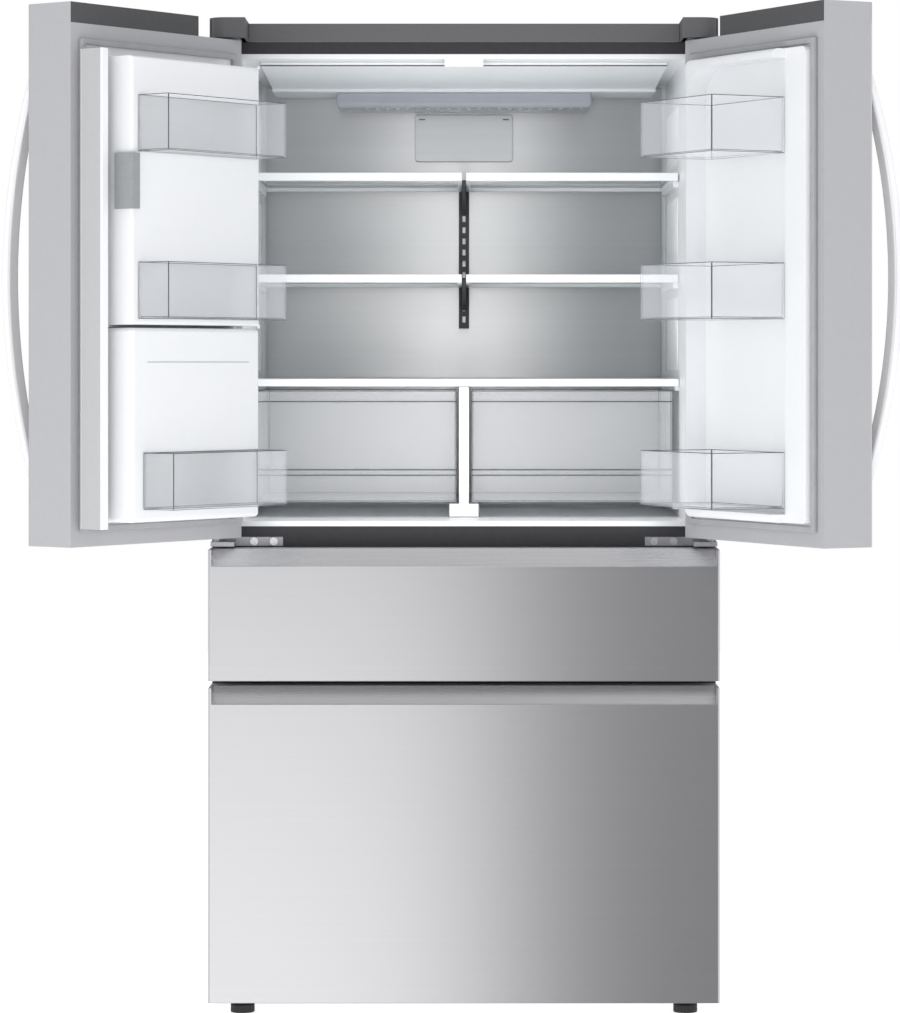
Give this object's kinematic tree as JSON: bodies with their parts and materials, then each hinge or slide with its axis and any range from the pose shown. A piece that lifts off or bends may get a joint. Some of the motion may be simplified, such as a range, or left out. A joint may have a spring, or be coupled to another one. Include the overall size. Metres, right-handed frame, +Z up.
{
  "type": "french door refrigerator",
  "caption": "Tall refrigerator with paired hinged doors above a pantry drawer and a freezer drawer, with shelves, crispers, door bins, ice door and dispenser.",
  "frame": {"origin": "on the floor, under the middle of the box around the part with its doors as modelled, open", "axes": "+Z up, +Y towards the back of the cabinet, +X to the right as seen from the front"},
  "size_m": [1.5397, 1.2151, 1.778],
  "materials": {
    "steel_front": "brushed stainless, fingerprint resistant",
    "case_paint": "satin grey",
    "dark_trim": "satin dark grey",
    "cap_plastic": "fine grained",
    "white_liner": "semi gloss white",
    "clear_plastic": "clear polystyrene",
    "shelf_glass": "tempered glass",
    "seal": "soft vinyl",
    "galvanised": "galvanised sheet",
    "bright_steel": "zinc plated",
    "black_plastic": "moulded black",
    "foam": "rigid foam",
    "black_paint": "satin black"
  },
  "bodies": {
    "cabinet": {"case_shell": "case_paint", "back_panel": "galvanised", "machine_room_cover": "galvanised", "base_pan": "galvanised", "cross_rails": "dark_trim", "foam_insulation": "foam", "fridge_liner": "white_liner", "pantry_liner": "white_liner", "freezer_liner": "white_liner", "steel_back_wall": "steel_front", "ceiling_panel": "white_liner", "lamp_lens": "clear_plastic", "ladder_rail": "dark_trim", "shelf_frames": "white_liner", "crisper_cover": "white_liner", "shelf_glass": "shelf_glass", "crisper_support": "white_liner", "filter_cartridge": "black_plastic", "top_cover_bar": "cap_plastic", "hinge_covers": "cap_plastic", "hinge_brackets": "bright_steel", "drawer_rails_fixed": "bright_steel", "condensing_unit": "black_paint", "evaporator": "galvanised", "water_inlet": "black_plastic"},
    "left_door": {"left_door_shell": "steel_front", "left_door_cap": "cap_plastic", "left_door_gasket": "seal", "left_door_handle": "steel_front", "left_door_liner": "white_liner", "left_door_bin": "clear_plastic", "ice_maker": "white_liner", "ice_bucket": "clear_plastic", "dispenser_housing": "black_plastic"},
    "mullion": {"mullion_flap": "galvanised"},
    "ice_door": {"ice_door": "white_liner", "ice_door_bins": "clear_plastic"},
    "ice_latch": {"ice_latch": "cap_plastic"},
    "paddle": {"dispenser_paddle": "black_plastic"},
    "right_door": {"right_door_shell": "steel_front", "right_door_cap": "cap_plastic", "right_door_gasket": "seal", "right_door_handle": "steel_front", "right_door_liner": "white_liner", "right_door_bins": "clear_plastic"},
    "pantry_drawer": {"pantry_front": "steel_front", "pantry_bin": "white_liner"},
    "pantry_rails": {"pantry_rails_middle": "bright_steel"},
    "freezer_drawer": {"freezer_front": "steel_front", "freezer_bin": "white_liner"},
    "freezer_rails": {"freezer_rails_middle": "bright_steel"},
    "freezer_tray": {"freezer_tray": "clear_plastic"},
    "crisper_left": {"crisper_left": "clear_plastic"},
    "crisper_right": {"crisper_right": "clear_plastic"},
    "filter_cover": {"filter_cover": "white_liner"},
    "condenser_fan": {"condenser_fan": "black_plastic"},
    "evaporator_fan": {"evaporator_fan": "black_plastic"},
    "foot_left": {"foot_left": "black_plastic"},
    "foot_right": {"foot_right": "black_plastic"},
    "rear_rollers": {"rear_rollers": "black_plastic"}
  },
  "joints": [
    {"name": "left_door_hinge", "type": "hinge", "parent": "cabinet", "child": "left_door", "pos_m": [-0.4188, -0.1825, 1.3], "axis": [0, 0, -1], "range_deg": [-126, 6]},
    {"name": "mullion_hinge", "type": "hinge", "parent": "left_door", "child": "mullion", "pos_m": [-0.61709, -0.56005, 1.288], "axis": [0, 0, 1], "range_deg": [-90, 0]},
    {"name": "ice_door_hinge", "type": "hinge", "parent": "left_door", "child": "ice_door", "pos_m": [-0.33897, -0.3023, 1.446], "axis": [0, 0, 1], "range_deg": [0, 90]},
    {"name": "ice_latch_pivot", "type": "hinge", "parent": "ice_door", "child": "ice_latch", "pos_m": [-0.52529, -0.57236, 1.47], "axis": [0, 0, 1], "range_deg": [0, 10], "stiffness_Nm_per_rad": 0.4},
    {"name": "paddle_pivot", "type": "hinge", "parent": "left_door", "child": "paddle", "pos_m": [-0.55452, -0.34718, 1.178], "axis": [-0.5878, -0.809, 0], "range_deg": [0, 10], "stiffness_Nm_per_rad": 0.6},
    {"name": "right_door_hinge", "type": "hinge", "parent": "cabinet", "child": "right_door", "pos_m": [0.4632, -0.1825, 1.3], "axis": [0, 0, 1], "range_deg": [-117.5, 14.5]},
    {"name": "pantry_slide", "type": "slide", "parent": "cabinet", "child": "pantry_drawer", "axis": [0, -1, 0], "range_m": [0, 0.45]},
    {"name": "pantry_rail_slide", "type": "slide", "parent": "cabinet", "child": "pantry_rails", "axis": [0, -1, 0], "range_m": [0, 0.225]},
    {"name": "freezer_slide", "type": "slide", "parent": "cabinet", "child": "freezer_drawer", "axis": [0, -1, 0], "range_m": [0, 0.38]},
    {"name": "freezer_rail_slide", "type": "slide", "parent": "cabinet", "child": "freezer_rails", "axis": [0, -1, 0], "range_m": [0, 0.19]},
    {"name": "freezer_tray_slide", "type": "slide", "parent": "freezer_drawer", "child": "freezer_tray", "axis": [0, 1, 0], "range_m": [0, 0.1]},
    {"name": "crisper_left_slide", "type": "slide", "parent": "cabinet", "child": "crisper_left", "axis": [0, -1, 0], "range_m": [0, 0.27]},
    {"name": "crisper_right_slide", "type": "slide", "parent": "cabinet", "child": "crisper_right", "axis": [0, -1, 0], "range_m": [0, 0.27]},
    {"name": "filter_cover_pull", "type": "slide", "parent": "cabinet", "child": "filter_cover", "axis": [0, -1, 0], "range_m": [0, 0.02]},
    {"name": "condenser_fan_spin", "type": "hinge", "parent": "cabinet", "child": "condenser_fan", "pos_m": [0.0942, 0.4725, 0.15], "axis": [1, 0, 0], "continuous": true},
    {"name": "evaporator_fan_spin", "type": "hinge", "parent": "cabinet", "child": "evaporator_fan", "pos_m": [0.0222, 0.4215, 0.48], "axis": [0, 1, 0], "continuous": true},
    {"name": "foot_left_screw", "type": "hinge", "parent": "cabinet", "child": "foot_left", "pos_m": [-0.3748, -0.1575, 0.01], "axis": [0, 0, 1], "continuous": true},
    {"name": "foot_right_screw", "type": "hinge", "parent": "cabinet", "child": "foot_right", "pos_m": [0.4192, -0.1575, 0.01], "axis": [0, 0, 1], "continuous": true},
    {"name": "rear_roller_axle", "type": "hinge", "parent": "cabinet", "child": "rear_rollers", "pos_m": [0.0222, 0.5625, 0.02], "axis": [1, 0, 0], "continuous": true}
  ],
  "couplings": [
    {"joint": "pantry_rail_slide", "follows": "pantry_slide", "ratio": 0.5},
    {"joint": "freezer_rail_slide", "follows": "freezer_slide", "ratio": 0.5}
  ]
}
